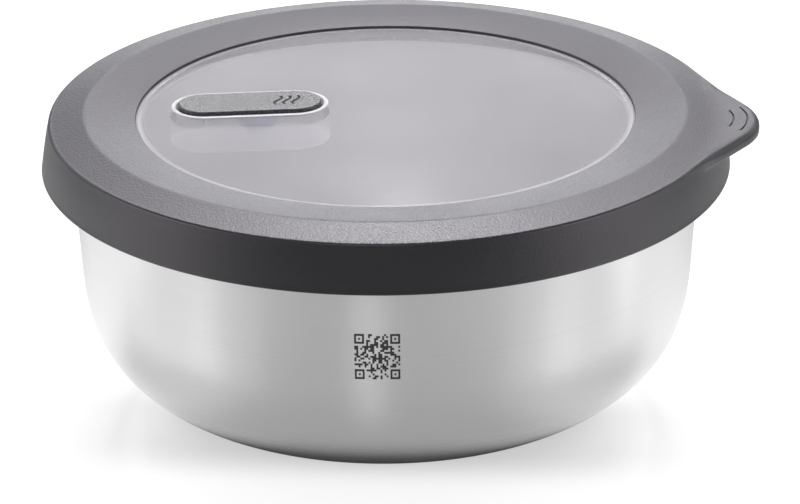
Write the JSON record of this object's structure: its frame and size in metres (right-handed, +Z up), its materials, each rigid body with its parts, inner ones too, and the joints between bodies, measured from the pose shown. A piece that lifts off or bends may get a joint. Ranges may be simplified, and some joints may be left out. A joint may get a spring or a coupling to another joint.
{
  "type": "food storage container",
  "caption": "Round steel food bowl with a lift-off framed lid: milky window, pull tab, sealing ring and a flip-up oblong steam vent.",
  "frame": {"origin": "centre of the bowl's flat base, on the surface it stands on", "axes": "+Z up, +X from the bowl's axis to the lid's pull tab"},
  "size_m": [0.1883, 0.1808, 0.0778],
  "materials": {
    "bowl_steel": "satin, brushed round the bowl",
    "frame_plastic": "soft touch with a fine grain",
    "window_plastic": "milky translucent",
    "retainer_plastic": "plain moulded",
    "seal_silicone": "satin silicone",
    "cap_plastic": "fine grain",
    "pin_steel": "drawn wire",
    "plug_silicone": "satin silicone"
  },
  "bodies": {
    "bowl": {"bowl": "bowl_steel"},
    "lid": {"lid_frame": "frame_plastic", "lid_window": "window_plastic", "window_retainer": "retainer_plastic", "lid_seal": "seal_silicone", "vent_hinge_pin": "pin_steel"},
    "vent": {"vent_cap": "cap_plastic", "vent_plug": "plug_silicone"}
  },
  "joints": [
    {"name": "lid_lift", "type": "slide", "parent": "bowl", "child": "lid", "axis": [0, 0, 1], "range_m": [0, 0.08]},
    {"name": "vent_flip", "type": "hinge", "parent": "lid", "child": "vent", "pos_m": [-0.04777, 0.00216, 0.0747], "axis": [0.1495, -0.9888, 0], "range_deg": [0, 85]}
  ]
}
